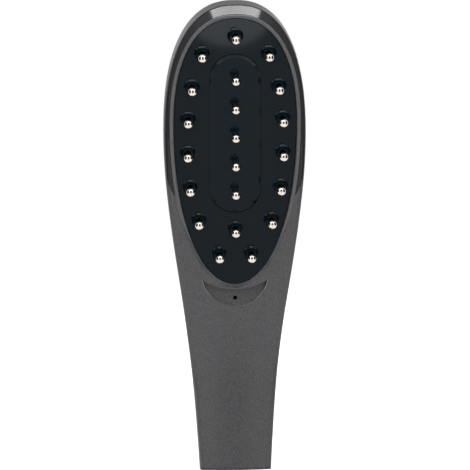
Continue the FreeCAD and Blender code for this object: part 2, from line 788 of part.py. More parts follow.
# Trim band and the two shells
def band_region(name, shrink, depth):
    reach = size("tool_reach")
    rim = held(name + "_rim", outline_prism(-size("band_rim") - shrink, size("band_lift")))
    taper_wire = outline_wire(grown(taper_points(), -shrink, True), True, -reach)
    taper = head_prism(name + "_taper", taper_wire, "Sizes.tool_reach + %g" % depth)
    crest_wire = egg_wire(size("lip_width") + size("lip_flat") + shrink, -2 * reach)
    crest = head_prism(name + "_crest", crest_wire, "4 * Sizes.tool_reach")
    return cut(name, common(name + "_ring", rim, taper), crest)


def trim_band():
    region = band_region("band_region", size("seam_gap"), size("band_depth") - size("seat_gap"))
    node(common("band_solid", OUTER, region), "trim_band")


def bevel_form():
    slope = (size("lip_width") - size("panel_gap")) / size("panel_set")
    high = -size("panel_set") / 2
    wide = egg_wire(size("lip_width") - slope * high, high)
    narrow = egg_wire(size("panel_gap"), size("panel_set"))
    solid = Part.makeLoft([wide, narrow], True, True)
    solid.Placement = HEAD
    return solid


def scoop_form():
    half = size("scoop_half_width")
    tip = -size("scoop_tip_down")
    top = -size("scoop_top_down")
    low = -size("scoop_low_down")
    reach = size("tool_reach")
    upper = Part.Arc(V(-half, -reach, tip), V(0, -reach, top), V(half, -reach, tip)).toShape()
    lower = Part.Arc(V(half, -reach, tip), V(0, -reach, low), V(-half, -reach, tip)).toShape()
    crescent = Part.Face(Part.Wire([upper, lower])).extrude(V(0, 2 * reach, 0))
    slope = size("scoop_depth") / (top - low)
    corners = [
        V(-reach, -reach, low - size("lip_flat")), V(-reach, 0, low - size("lip_flat")),
        V(-reach, slope * reach, low + reach), V(-reach, -reach, low + reach),
    ]
    wedge = Part.Face(Part.makePolygon(corners + corners[:1])).extrude(V(2 * reach, 0, 0))
    solid = crescent.common(wedge)
    solid.Placement = HEAD
    return solid


def shell_blank():
    skins = [OUTER.Shape.Shells[0], INNER.Shape.Shells[0].reversed()]
    walls = held("casing_walls", Part.makeSolid(Part.makeCompound(skins)))
    above = layer("above_cap", size("cap_thick") + size("seam_gap"), tall())
    return common("casing_blank", walls, above)


def front_shell(blank):
    reach = size("tool_reach")
    split = size("parting_depth") - size("front_depth")
    solid = common("front_blank", blank, held("front_region", flat_slab(size("front_depth") + reach, split)))
    window_wire = egg_wire(size("panel_gap"), -reach)
    window = head_prism("panel_window", window_wire, "Sizes.tool_reach + %g" % LEDGE_FRONT)
    opening = head_prism("ledge_opening", egg_wire(-size("ledge_width"), -reach), "2 * Sizes.tool_reach")
    hole = round_tool(size("pinhole_radius"), 2 * reach)
    pinhole = repeated("pinhole", hole, [(0.0, -size("pinhole_down"))], reach / 2)
    grip = size("screw_grip") + 3 * size("seat_gap")
    pilot = round_tool(size("screw_radius") + size("tip_clearance"), grip)
    pilots = repeated("screw_pilots", pilot, screw_places(), size("frame_depth") + size("seat_gap"))
    bevel = held("lip_bevel", bevel_form())
    scoop = held("crescent_scoop", scoop_form())
    channel = band_region("band_channel", 0.0, size("band_depth"))
    for tool in (channel, window, opening, bevel, scoop, pinhole, pilots):
        solid = cut("front_less_" + tool.Name, solid, tool)
    node(solid, "front_shell")


def board_posts():
    posts = []
    for i, side in enumerate((-1, 1)):
        for j, up in enumerate((size("post_low"), size("post_high"))):
            post = add("Part::Cylinder", "board_post_%d%d" % (i, j))
            bind(post, Radius="Sizes.post_radius")
            bind(post, Height="Sizes.handle_rear - Sizes.board_thick - Sizes.wall / 2")
            start = size("board_thick") + size("seat_gap")
            post.Placement = placed(side * size("post_apart") / 2, start, up, V(1, 0, 0), -90)
            posts.append(post)
    return posts


def rear_shell(blank):
    reach = size("tool_reach")
    split = size("front_depth") - size("parting_depth") - size("seam_gap")
    behind = held("rear_region", flat_slab(split, reach))
    solid = common("rear_blank", blank, behind)
    posts = common("posts_trimmed", fuse("posts", board_posts()), OUTER)
    solid = fuse("rear_posted", [solid, posts])
    gap = size("button_gap")
    wire = stadium_wire(
        size("button_width") + 2 * gap, size("button_length") + 2 * gap, size("switch_up"),
        size("handle_rear") - size("button_flange_back"),
    )
    solid = cut("rear_buttoned", solid, extruded("button_way", wire, V(0, 1, 0), "Sizes.tool_reach"))
    head = round_tool(size("plug_head_radius") + size("plug_recess_gap"), reach)
    recess = repeated("plug_recess", head, [(0.0, size("neck_up"))], HEAD_BACK - size("plug_recess") + reach)
    stem = round_tool(size("plug_radius") + size("plug_clearance"), reach)
    way = repeated("plug_way", stem, [(0.0, size("neck_up"))], HEAD_BACK + size("plug_recess"))
    solid = cut("rear_recessed", solid, recess)
    node(cut("rear_solid", solid, way), "rear_shell")


# End cap and the pieces inside the handle
def port_wire(grow, start):
    half = size("port_width") / 2 + grow
    round_off = size("port_height") / 2 + grow
    flat = half - round_off
    y = PORT_MIDDLE
    low = Part.makeLine(V(-flat, y - round_off, start), V(flat, y - round_off, start))
    high = Part.makeLine(V(flat, y + round_off, start), V(-flat, y + round_off, start))
    right = Part.Arc(low.Vertexes[1].Point, V(half, y, start), high.Vertexes[0].Point).toShape()
    left = Part.Arc(high.Vertexes[1].Point, V(-half, y, start), low.Vertexes[0].Point).toShape()
    return Part.Wire([low, right, high, left])


def upright_prism(name, wire, length):
    return extruded(name, wire, V(0, 0, 1), length)


PORT_MIDDLE = size("board_thick") + size("seat_gap") + size("port_height") / 2


def end_cap():
    thick = size("cap_thick")
    plate = common("cap_plate", OUTER, layer("cap_layer", 0.0, thick))
    inside = held("cap_inside", inner_form(size("seat_gap")))
    inset = size("wall") + size("cap_plug_wall")
    half_width = size("end_width") / 2 - inset
    half_depth = min(size("front_depth"), size("handle_rear")) - inset - size("seat_gap")
    oval = Part.Ellipse(V(0, 0, 0), half_width, half_depth)
    core = upright_prism("cap_core", Part.Wire([oval.toShape()]), "Sizes.tool_reach")
    core.Base.Placement = placed(0, 0, thick + size("cap_floor"))
    rim = common("cap_rim_block", inside, layer("cap_rim_layer", thick, thick + size("cap_plug")))
    solid = fuse("cap_raised", [plate, cut("cap_rim", rim, core)])
    way = upright_prism("port_way", port_wire(size("port_gap"), -size("tool_reach")), "2 * Sizes.tool_reach")
    node(cut("cap_solid", solid, way), "end_cap")


def charge_port():
    shell = upright_prism("port_shell", port_wire(0.0, size("port_inset")), "Sizes.port_length")
    mouth = upright_prism("port_mouth", port_wire(-size("port_wall"), 0.0), "Sizes.port_length")
    node(cut("port_solid", shell, mouth), "charge_port")
    tongue = add("Part::Box", "tongue_form")
    bind(tongue, Length="Sizes.tongue_width", Width="Sizes.tongue_thick", Height="Sizes.tongue_length")
    tongue.Placement = placed(
        -size("tongue_width") / 2, PORT_MIDDLE - size("tongue_thick") / 2,
        size("port_length") - size("tongue_length") - size("seat_gap"),
    )
    node(tongue, "port_tongue")


def circuit_board():
    board = padded_body(
        "board_form", "XZ_Plane", rectangle("Sizes.board_width / 2", "Sizes.board_start", "Sizes.board_end"),
        "Sizes.board_thick",
    )
    board.Placement = placed(0, size("board_thick"), 0)
    node(board, "circuit_board")


def battery_cell():
    high = "Sizes.battery_length"
    top = "Sizes.battery_length + Sizes.battery_nub"
    cell = turned_body("battery_form", (
        ("0", "0"), ("Sizes.battery_radius", "0"), ("Sizes.battery_radius", high),
        ("Sizes.battery_nub_radius", high), ("Sizes.battery_nub_radius", top), ("0", top),
    ))
    cell.Placement = placed(0, -size("seat_gap") - size("battery_radius"), size("battery_start"))
    node(cell, "battery_cell")


def vibration_motor():
    bore = "Sizes.shaft_radius + Sizes.shaft_clearance"
    floor = "Sizes.motor_length - Sizes.shaft_depth - Sizes.seat_gap"
    motor = turned_body("motor_form", (
        ("0", "0"), ("Sizes.motor_radius", "0"), ("Sizes.motor_radius", "Sizes.motor_length"),
        (bore, "Sizes.motor_length"), (bore, floor), ("0", floor),
    ))
    y = -size("seat_gap") - size("motor_radius")
    motor.Placement = placed(size("motor_side"), y, size("motor_start"))
    node(motor, "vibration_motor")
    shaft = add("Part::Cylinder", "shaft_form")
    bind(shaft, Radius="Sizes.shaft_radius", Height="Sizes.shaft_length")
    top = size("motor_start") + size("motor_length")
    shaft.Placement = placed(size("motor_side"), y, top - size("shaft_depth"))
    node(shaft, "motor_shaft")
    half = add("Part::Cylinder", "weight_sector", Angle=180)
    bind(half, Radius="Sizes.weight_radius", Height="Sizes.weight_length")
    hub = add("Part::Cylinder", "weight_hub")
    bind(hub, Radius="3 * Sizes.shaft_radius", Height="Sizes.weight_length")
    bore = add("Part::Cylinder", "weight_bore")
    bind(bore, Radius="Sizes.shaft_radius + Sizes.shaft_clearance", Height="Sizes.weight_length")
    for piece in (half, hub, bore):
        piece.Placement = placed(size("motor_side"), y, top + size("weight_gap"), V(0, 0, 1), 180)
    node(cut("weight_solid", fuse("weight_block", [half, hub]), bore), "motor_weight")


def tact_switch():
    half = "Sizes.switch_width / 2"
    body = padded_body(
        "switch_block", "XZ_Plane", rectangle(half, "Sizes.switch_up - " + half, "Sizes.switch_up + " + half),
        "Sizes.switch_thick",
    )
    start = size("board_thick") + size("seat_gap")
    back = start + size("switch_thick")
    body.Placement = placed(0, back, 0)
    well = add("Part::Cylinder", "switch_well")
    bind(well, Radius="Sizes.plunger_radius + Sizes.plunger_clearance", Height="Sizes.tool_reach")
    floor = back - size("plunger_sunk") - size("button_travel") - 2 * size("seat_gap")
    well.Placement = placed(0, floor, size("switch_up"), V(1, 0, 0), -90)
    node(cut("switch_solid", body, well), "tact_switch")
    plunger = add("Part::Cylinder", "plunger_form")
    bind(plunger, Radius="Sizes.plunger_radius")
    flange = size("handle_rear") - size("button_flange_back") - size("button_flange_thick")
    plunger.Height = flange - size("seat_gap") - back + size("plunger_sunk")
    plunger.Placement = placed(0, back - size("plunger_sunk"), size("switch_up"), V(1, 0, 0), -90)
    node(plunger, "switch_plunger")


def power_button():
    top = size("handle_rear") - size("button_flange_back")
    wire = stadium_wire(size("button_width"), size("button_length"), size("switch_up"), top)
    column = extruded("button_column", wire, V(0, 1, 0), "Sizes.tool_reach")
    crown = held("button_crown", crowned_slab(flush, lambda along: -size("button_proud")))
    pad = common("button_pad", column, crown)
    width = size("button_width") + 2 * size("button_flange")
    length = size("button_length") + 2 * size("button_flange")
    wire = stadium_wire(width, length, size("switch_up"), top - size("button_flange_thick"))
    flange = extruded("button_rim", wire, V(0, 1, 0), "Sizes.button_flange_thick")
    node(fuse("button_solid", [pad, flange]), "power_button")


def light_pipe():
    pipe = add("Part::Cylinder", "pipe_form")
    bind(pipe, Radius="Sizes.pipe_radius", Height="Sizes.pipe_length")
    pipe.Placement = on_head(0.0, size("pipe_inset") + size("pipe_length"), -size("pinhole_down"), True)
    node(pipe, "light_pipe")


def check_and_write():
    doc.recompute()
    for obj in doc.Objects:
        if "Invalid" in obj.State or "Error" in obj.State:
            raise RuntimeError("object %s is in state %s" % (obj.Name, obj.State))
    os.makedirs("parts", exist_ok=True)
    for name, obj in solid_names:
        shape = obj.Shape
        if shape.isNull() or not shape.isValid() or not shape.Solids:
            raise RuntimeError("shape of %s is not sound" % name)
        shape.exportStep("parts/%s.step" % name)
        print("%-18s solids %2d  volume %9.1f mm3" % (name, len(shape.Solids), shape.Volume))
    print("pieces written: %d" % len(solid_names))


BLANK = shell_blank()
front_shell(BLANK)
rear_shell(BLANK)
trim_band()
end_cap()
contact_panel()
centre_island()
panel_gasket()
ball_tips()
tip_springs()
valve_manifold()
serum_tank()
fill_plug()
manifold_screws()
circuit_board()
battery_cell()
vibration_motor()
tact_switch()
power_button()
charge_port()
light_pipe()
check_and_write()
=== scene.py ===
# %% [markdown]
# # A scalp serum applicator, dressed for a studio picture
# The shape comes from an imported CAD model that stays as it is, so this lesson is about finishes, light and
# camera. First the frame is loaded and its box is kept.

# %% Load the frame
import json
import math

import bmesh
import bpy
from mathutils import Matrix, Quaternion, Vector
from mathutils.bvhtree import BVHTree


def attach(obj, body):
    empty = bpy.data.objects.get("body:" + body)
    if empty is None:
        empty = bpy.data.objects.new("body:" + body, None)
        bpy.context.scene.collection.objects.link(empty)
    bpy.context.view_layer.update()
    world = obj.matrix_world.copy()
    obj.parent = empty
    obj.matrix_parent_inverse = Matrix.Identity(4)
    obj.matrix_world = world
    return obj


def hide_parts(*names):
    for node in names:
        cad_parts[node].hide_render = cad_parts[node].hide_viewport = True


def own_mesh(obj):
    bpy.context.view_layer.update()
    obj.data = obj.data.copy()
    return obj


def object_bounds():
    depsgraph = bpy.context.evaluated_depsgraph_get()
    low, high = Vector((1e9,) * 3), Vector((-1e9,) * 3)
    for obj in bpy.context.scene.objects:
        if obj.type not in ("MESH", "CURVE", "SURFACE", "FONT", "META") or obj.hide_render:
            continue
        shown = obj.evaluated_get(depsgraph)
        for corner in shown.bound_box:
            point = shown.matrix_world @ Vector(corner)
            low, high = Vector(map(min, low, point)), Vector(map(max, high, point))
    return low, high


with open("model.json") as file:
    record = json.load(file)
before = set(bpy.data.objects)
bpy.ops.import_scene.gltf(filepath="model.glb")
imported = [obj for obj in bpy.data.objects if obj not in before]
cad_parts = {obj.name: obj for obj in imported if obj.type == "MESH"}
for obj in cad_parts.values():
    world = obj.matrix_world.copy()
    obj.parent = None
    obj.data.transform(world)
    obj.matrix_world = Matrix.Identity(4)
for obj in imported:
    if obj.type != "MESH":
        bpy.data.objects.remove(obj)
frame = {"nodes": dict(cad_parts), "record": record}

MM = 0.001
cad_box = [list(corner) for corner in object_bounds()]
nodes = frame["nodes"]
print("nodes:", len(nodes), "box in mm:", [[round(v / MM, 1) for v in corner] for corner in cad_box])

# %% [markdown]
# ## Two helpers for finishes
# Paint makers give colours as sRGB hex values, while a shader wants linear light, so one function converts them.
# Another adds a node with its settings and links, so that each finish below reads as a short list.

# %% Helpers for finishes


def linear(hex_colour):
    channels = [int(hex_colour[i:i + 2], 16) / 255 for i in (1, 3, 5)]
    return [c / 12.92 if c <= 0.04045 else ((c + 0.055) / 1.055) ** 2.4 for c in channels] + [1.0]


def add_node(tree, kind, settings=None, links=None, **values):
    made = tree.nodes.new(kind)
    for name, value in (settings or {}).items():
        setattr(made, name, value)
    for socket, value in values.items():
        made.inputs[socket.replace("_", " ")].default_value = value
    for socket, source in (links or {}).items():
        tree.links.new(source, made.inputs[socket])
    return made


def new_finish(name, hex_colour, roughness, metallic=0.0, specular=0.5):
    finish = bpy.data.materials.new(name)
    finish.use_nodes = True
    shader = finish.node_tree.nodes["Principled BSDF"]
    shader.inputs["Base Color"].default_value = linear(hex_colour)
    shader.inputs["Roughness"].default_value = roughness
    shader.inputs["Metallic"].default_value = metallic
    shader.inputs["Specular IOR Level"].default_value = specular
    return finish, finish.node_tree, shader


# %% [markdown]
# ## Casing: moulded ABS with a fine metallic grain
# The two shells and the end cap are one charcoal plastic with mica flakes in it. Under soft light it looks matte,
# with a fine salt-and-pepper grain. Noise is sampled in object space, so the grain keeps its real size.

# %% Casing finish
GRAIN_MM = 0.55  # real flakes are nearer 0.1 mm, which the picture can't show, so they are drawn coarser
GRAIN_DARK, GRAIN_LIGHT = "#48484a", "#5e5e5f"
GRAIN_BUMP_MM = 0.02
EDGE_TINT = (0.35, 0.35, 0.35, 1.0)  # mica in plastic shines less at the rim than bare metal does
EDGE_MM = 0.45  # moulded edges are never sharp, and this small round catches a line of light


def charcoal_abs():
    finish, tree, shader = new_finish("charcoal_metallic_ABS", "#525253", 0.42, metallic=0.5, specular=0.35)
    shader.inputs["Specular Tint"].default_value = EDGE_TINT
    place = add_node(tree, "ShaderNodeTexCoord")
    grain = add_node(tree, "ShaderNodeTexNoise", links={"Vector": place.outputs["Object"]},
                     Scale=1 / (GRAIN_MM * MM), Detail=2.0, Roughness=0.6)
    tint = add_node(tree, "ShaderNodeValToRGB", links={"Fac": grain.outputs["Fac"]})
    tint.color_ramp.elements[0].position = 0.3
    tint.color_ramp.elements[0].color = linear(GRAIN_DARK)
    tint.color_ramp.elements[1].position = 0.7
    tint.color_ramp.elements[1].color = linear(GRAIN_LIGHT)
    tree.links.new(tint.outputs["Color"], shader.inputs["Base Color"])
    soft_edge = add_node(tree, "ShaderNodeBevel", {"samples": 6}, Radius=EDGE_MM * MM)
    bump = add_node(tree, "ShaderNodeBump", links={"Height": grain.outputs["Fac"], "Normal": soft_edge.outputs[0]},
                    Strength=0.12, Distance=GRAIN_BUMP_MM * MM)
    tree.links.new(bump.outputs["Normal"], shader.inputs["Normal"])
    return finish


casing = charcoal_abs()
print("casing grain:", GRAIN_MM, "mm")

# %% [markdown]
# ## Panel, island and trim: polished black ABS
# These are moulded in polished tools, so they mirror the room sharply but weakly, as any plastic does. The usual
# specular level of plastic is 0.5. Here it is lower, because this white room fills every direction, while the panel in
# the photograph mirrors mostly dark surroundings. The panel is a blue-black; the trim band is a neutral black.

# %% Gloss finishes
GLOSS_SPECULAR = 0.1

# a deep blue-black with a sharp, weak mirror, for the panel and the plate let into it
panel_black = new_finish("polished_blue_black_ABS", "#07131a", 0.05, specular=GLOSS_SPECULAR)[0]
island_black = new_finish("polished_island_ABS", "#07131a", 0.05, specular=GLOSS_SPECULAR)[0]
# a softer polish, which blurs the ends of the one highlight on the band
trim_black = new_finish("polished_neutral_black_ABS", "#222223", 0.1, specular=GLOSS_SPECULAR)[0]
# moulded in an etched tool: black with a wide, soft shine
button_black = new_finish("satin_black_ABS", "#19191a", 0.32)[0]
print("gloss finishes:", [finish.name for finish in (panel_black, island_black, trim_black, button_black)])

# %% [markdown]
# ## Tips and pins: polished nickel plate
# Ball tips are turned and nickel plated, which is a slightly warm mirror. A metal keeps the default index. The pieces
# inside are seldom seen, so each gets one plain finish, as its material looks when it leaves the mould or the mill.

# %% Nickel and the hidden finishes
# a bright mirror, a little warm
nickel = new_finish("polished_nickel_plate", "#ccc5be", 0.07, metallic=1.0)[0]
# wire and sheet from the mill: grey with a soft streak of light
spring_steel = new_finish("drawn_spring_steel", "#b4b6b8", 0.3, metallic=1.0)[0]
motor_steel = new_finish("plain_steel_can", "#a5a6a8", 0.35, metallic=1.0)[0]
# soft rubber: almost no shine
silicone = new_finish("moulded_black_silicone", "#232324", 0.62)[0]
# waxy plastics: an even tone and a dull shine
milky_pp = new_finish("moulded_milky_polypropylene", "#cfcdc6", 0.5)[0]
grey_pom = new_finish("moulded_grey_acetal", "#a9a9a6", 0.45)[0]
# a thin lacquer and a shrunk film: strong colours with a satin shine
solder_mask = new_finish("green_solder_mask", "#1f5b38", 0.35)[0]
battery_sleeve = new_finish("blue_battery_sleeve", "#2f5f9c", 0.35)[0]
# painted shade for the dark of a deep hole: the light pipe is near black with almost no shine
painted_hole_shade = new_finish("painted_shade_in_hole", "#030303", 0.3, specular=0.02)[0]

FINISH_OF_SLOT = {
    "casing": casing, "gloss_black": panel_black, "island_black": island_black, "button_black": button_black,
    "nickel": nickel, "silicone": silicone, "spring_steel": spring_steel, "manifold_plastic": grey_pom,
    "tank_plastic": milky_pp, "board": solder_mask, "battery": battery_sleeve, "motor_steel": motor_steel,
    "light_pipe": painted_hole_shade,
}
SMOOTH_ANGLE = math.radians(38)


def dress(node, finish):
    node.data.materials.clear()
    node.data.materials.append(finish)
    node.data.polygons.foreach_set("use_smooth", [True] * len(node.data.polygons))
    node.data.set_sharp_from_angle(angle=SMOOTH_ANGLE)
    node.modifiers.new("flat_faces_stay_flat", "WEIGHTED_NORMAL").keep_sharp = True


for row in frame["record"]["subparts"]:
    dress(nodes[row["node"]], FINISH_OF_SLOT[row["material_slot"]])
dress(nodes["trim_band"], trim_black)

# %% [markdown]
# ## Lip bead
# A soft rounded lip stands round the panel and catches a line of light. The CAD shell has a plain bevel there.
# Bevelling the shell's mesh would round all its edges, so a small profile is swept round the panel's own outline,
# measured on its mesh. It is full at the top and sinks into the shell towards the lower point.

# %% Lip bead
LEAN = math.radians(12)
ACROSS = Vector((1, 0, 0))
UP = Vector((0, -math.sin(LEAN), math.cos(LEAN)))
OUT = Vector((0, -math.cos(LEAN), -math.sin(LEAN)))
LIP_OVER_BACK = 3.2 * MM
RISE_SHARE = 0.3995
ROUNDNESS_UP, ROUNDNESS_DOWN = 2.3, 2.05
BEAD_PROFILE_MM = (
    (0.32, -1.0), (0.32, -0.3), (0.4, -0.05), (0.55, 0.1), (0.8, 0.2), (1.1, 0.24),
    (1.4, 0.21), (1.7, 0.13), (1.95, 0.03), (2.1, -0.09), (2.1, -1.0),
)
BEAD_STEPS = 360
SINK = 1.0 * MM
FADE_START, FADE_END = -0.55, -0.8


def panel_span(axis):
    panel = nodes["contact_panel"]
    reach = [(panel.matrix_world @ vertex.co).dot(axis) for vertex in panel.data.vertices]
    return min(reach), max(reach)


def egg_point(angle, half_width, rise, drop):
    reach, power = (rise, ROUNDNESS_UP) if math.sin(angle) >= 0 else (drop, ROUNDNESS_DOWN)
    c, s = math.cos(angle), math.sin(angle)
    return Vector((half_width * math.copysign(abs(c) ** (2 / power), c),
                   reach * math.copysign(abs(s) ** (2 / power), s)))


def lip_bead():
    half_width = panel_span(ACROSS)[1]
    low, high = panel_span(UP)
    lip = panel_span(OUT)[0] + LIP_OVER_BACK
    rise = RISE_SHARE * (high - low)
    drop = high - low - rise
    middle = high - rise
    turns = [2 * math.pi * (i + 0.5) / BEAD_STEPS for i in range(BEAD_STEPS)]
    outline = [egg_point(turn, half_width, rise, drop) for turn in turns]
    corners, faces = [], []
    rows = len(BEAD_PROFILE_MM)
    for i, place in enumerate(outline):
        along = outline[(i + 1) % BEAD_STEPS] - outline[i - 1]
        normal = Vector((along.y, -along.x)).normalized()
        full = min(max((place.y / drop - FADE_END) / (FADE_START - FADE_END), 0.0), 1.0)
        for reach, height in BEAD_PROFILE_MM:
            edge = place + normal * reach * MM
            depth = lip + height * MM * full - SINK * (1 - full)
            corners.append(ACROSS * edge.x + UP * (edge.y + middle) + OUT * depth)
        for k in range(rows):
            a, b = i * rows + k, i * rows + (k + 1) % rows
            c, d = (b + rows) % (rows * BEAD_STEPS), (a + rows) % (rows * BEAD_STEPS)
            faces.append((a, b, c, d))
    mesh = bpy.data.meshes.new("lip_bead")
    mesh.from_pydata(corners, [], faces)
    mesh.materials.append(casing)
    mesh.polygons.foreach_set("use_smooth", [True] * len(mesh.polygons))
    bead = bpy.data.objects.new("lip_bead", mesh)
    bpy.context.scene.collection.objects.link(bead)
    return bead


bead = lip_bead()
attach(bead, "casing")
print("lip bead corners:", len(bead.data.vertices))

# %% [markdown]
# ## Edge of the crescent
# The lower edge of the recess under the panel shows as a thin light line on both sides, where its small round catches
# light. One could bevel that edge of the shell, but its mesh stays as it is, so a fine wire follows the edge from each
# tip of the crescent and sinks into the surface before the middle. The wire is the same plastic in a smoother finish,
# painted lighter as a painted highlight. A ray sent back at the shell finds the surface at each step.

# %% Edge of the crescent
MIDDLE_BELOW_WIDEST = 11.75 * MM
CRESCENT_HALF_WIDTH = 13.85 * MM
CRESCENT_TIP_DOWN, CRESCENT_LOW_DOWN = 56.9 * MM, 68.0 * MM
EDGE_WIRE = 0.16 * MM
RAY_START = 20 * MM
EDGE_STEPS = 24
EDGE_ROUNDING = 3
EDGE_END_SHARE = 0.5
# the same plastic without its grain, smoother, and painted lighter: a painted highlight
painted_highlight_edge = new_finish("painted_highlight_ABS_edge", "#838385", 0.38, metallic=0.5)[0]


def crescent_edge(name, side):
    low, high = panel_span(UP)
    lip = panel_span(OUT)[0] + LIP_OVER_BACK
    head_middle = high - RISE_SHARE * (high - low) - MIDDLE_BELOW_WIDEST
    sag = CRESCENT_LOW_DOWN - CRESCENT_TIP_DOWN
    radius = (CRESCENT_HALF_WIDTH ** 2 + sag ** 2) / (2 * sag)
    half_turn = math.asin(CRESCENT_HALF_WIDTH / radius)
    centre_up = head_middle - CRESCENT_LOW_DOWN + radius
    surface = BVHTree.FromObject(nodes["front_shell"], bpy.context.evaluated_depsgraph_get())
    path = bpy.data.curves.new(name, "CURVE")
    path.dimensions = "3D"
    path.bevel_depth = EDGE_WIRE
    path.bevel_resolution = EDGE_ROUNDING
    path.use_fill_caps = True
    line = path.splines.new("POLY")
    line.points.add(EDGE_STEPS - 1)
    for i, point in enumerate(line.points):
        share = i / (EDGE_STEPS - 1)
        turn = half_turn * (1 - EDGE_END_SHARE * share)
        reach = radius + EDGE_WIRE
        ahead = ACROSS * side * reach * math.sin(turn) + UP * (centre_up - reach * math.cos(turn))
        hit = surface.ray_cast(ahead + OUT * (lip + RAY_START), -OUT)[0]
        point.co = (*(hit - OUT * EDGE_WIRE * share), 1)
    path.materials.append(painted_highlight_edge)
    wire = bpy.data.objects.new(name, path)
    bpy.context.scene.collection.objects.link(wire)
    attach(wire, "casing")
    return wire


edges = [crescent_edge("crescent_edge_left", -1), crescent_edge("crescent_edge_right", 1)]
print("crescent edges:", [[round(v / MM, 2) for v in edge.dimensions] for edge in edges])

# %% [markdown]
# ## Return springs
# Behind each tip sits a small coil spring, which the frame shows as a plain ring. A screw modifier could wind a
# coil, but a wire swept along a helix gives each spring a mesh of its own. First
# the tips' middles and the rings give the places and the room.

# %% Room for the springs
TIP_COUNT = 16


def tip_axis(index):
    corners = [vertex.co for vertex in nodes["valve_tip_%02d" % index].data.vertices]
    across = [corner.x for corner in corners]
    upward = [corner.dot(UP) for corner in corners]
    return (min(across) + max(across)) / 2, (min(upward) + max(upward)) / 2


def ring_room():
    ring = [vertex.co for vertex in nodes["tip_springs"].data.vertices]
    depths = [corner.dot(OUT) for corner in ring]
    axes = [tip_axis(i) for i in range(1, TIP_COUNT + 1)]
    reach = [min(math.hypot(c.x - x, c.dot(UP) - up) for x, up in axes) for c in ring]
    return min(depths), max(depths), min(reach), max(reach)


room = ring_room()
print("room of a spring in mm, back, front, inner and outer:", [round(v / MM, 2) for v in room])

# %% [markdown]
# The wire is as thick as the ring's wall and climbs from the back of the room to its front.

# %% Return springs
COIL_TURNS = 3
TURN_STEPS = 24
WIRE_STEPS = 8


def coil_spring(index, room):
    back, front, inner, outer = room
    wire = (outer - inner) / 2
    middle = (outer + inner) / 2
    x, up = tip_axis(index)
    start = ACROSS * x + UP * up + OUT * (back + wire)
    climb = front - back - 2 * wire
    steps = COIL_TURNS * TURN_STEPS
    corners, faces = [], []
    for i in range(steps + 1):
        turn = 2 * math.pi * i / TURN_STEPS
        radial = ACROSS * math.cos(turn) + UP * math.sin(turn)
        centre = start + radial * middle + OUT * (climb * i / steps)
        for k in range(WIRE_STEPS):
            side = 2 * math.pi * k / WIRE_STEPS
            corners.append(centre + (radial * math.cos(side) + OUT * math.sin(side)) * wire)
    for i in range(steps):
        for k in range(WIRE_STEPS):
            a, b = i * WIRE_STEPS + k, i * WIRE_STEPS + (k + 1) % WIRE_STEPS
            faces.append((a, b, b + WIRE_STEPS, a + WIRE_STEPS))
    faces.append(tuple(reversed(range(WIRE_STEPS))))
    faces.append(tuple(range(steps * WIRE_STEPS, (steps + 1) * WIRE_STEPS)))
    mesh = bpy.data.meshes.new("return_spring_%02d" % index)
    mesh.from_pydata(corners, [], faces)
    mesh.materials.append(spring_steel)
    mesh.polygons.foreach_set("use_smooth", [True] * len(mesh.polygons))
    spring = bpy.data.objects.new("return_spring_%02d" % index, mesh)
    bpy.context.scene.collection.objects.link(spring)
    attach(spring, "casing")
    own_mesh(spring)
    return spring


springs = [coil_spring(i, room) for i in range(1, TIP_COUNT + 1)]
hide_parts("tip_springs")
print("springs:", len(springs), "turns each:", COIL_TURNS)

# %% [markdown]
# ## Seam liner
# The two shells meet with a hair of a gap all round, and seen exactly edge on, that gap would let the background
# through. A real casing has a dark tongue there. It could be drawn round by hand, but the shells already hold its
# shape: the faces of the front shell that look at the rear shell across the gap are copied and thickened.

# %% Seam liner
SEAM_REACH = 0.4 * MM
LINER_THICK = 0.08 * MM
HAIR = 0.001 * MM  # corners closer than this are one, and a ray starts this far off its face


def seam_liner():
    front, rear = nodes["front_shell"], nodes["rear_shell"]
    across = BVHTree.FromObject(rear, bpy.context.evaluated_depsgraph_get())
    to_rear = rear.matrix_world.inverted() @ front.matrix_world
    liner = bmesh.new()
    liner.from_mesh(front.data)
    bmesh.ops.remove_doubles(liner, verts=liner.verts[:], dist=HAIR)
    far = []
    for face in liner.faces:
        start = to_rear @ (face.calc_center_median() + face.normal * HAIR)
        hit = across.ray_cast(start, (to_rear.to_3x3() @ face.normal).normalized(), SEAM_REACH)
        if hit[0] is None:
            far.append(face)
    bmesh.ops.delete(liner, geom=far, context="FACES")
    seam_faces = len(liner.faces)
    bmesh.ops.solidify(liner, geom=liner.faces[:], thickness=-LINER_THICK)
    mesh = bpy.data.meshes.new("seam_liner")
    liner.to_mesh(mesh)
    liner.free()
    mesh.materials.append(silicone)
    made = bpy.data.objects.new("seam_liner", mesh)
    made.matrix_world = front.matrix_world
    bpy.context.scene.collection.objects.link(made)
    return made, seam_faces


liner, seam_faces = seam_liner()
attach(liner, "casing")
print("seam faces:", seam_faces, "liner box:", [round(v / MM, 1) for v in liner.dimensions])

# %% [markdown]
# ## Floor and world
# The object stands on a pale floor in a white room. White in the picture comes from what the camera sees, not from
# extra light: the world is brighter to camera, glossy and transmission rays than it is as a lamp.

# %% Floor and world
FLOOR_SIZE = 12.0  # metres, so that its edge stays far from the picture
FLOOR_GLOW = 0.8
ROOM_AS_LAMP, ROOM_AS_SEEN = 0.18, 1.0


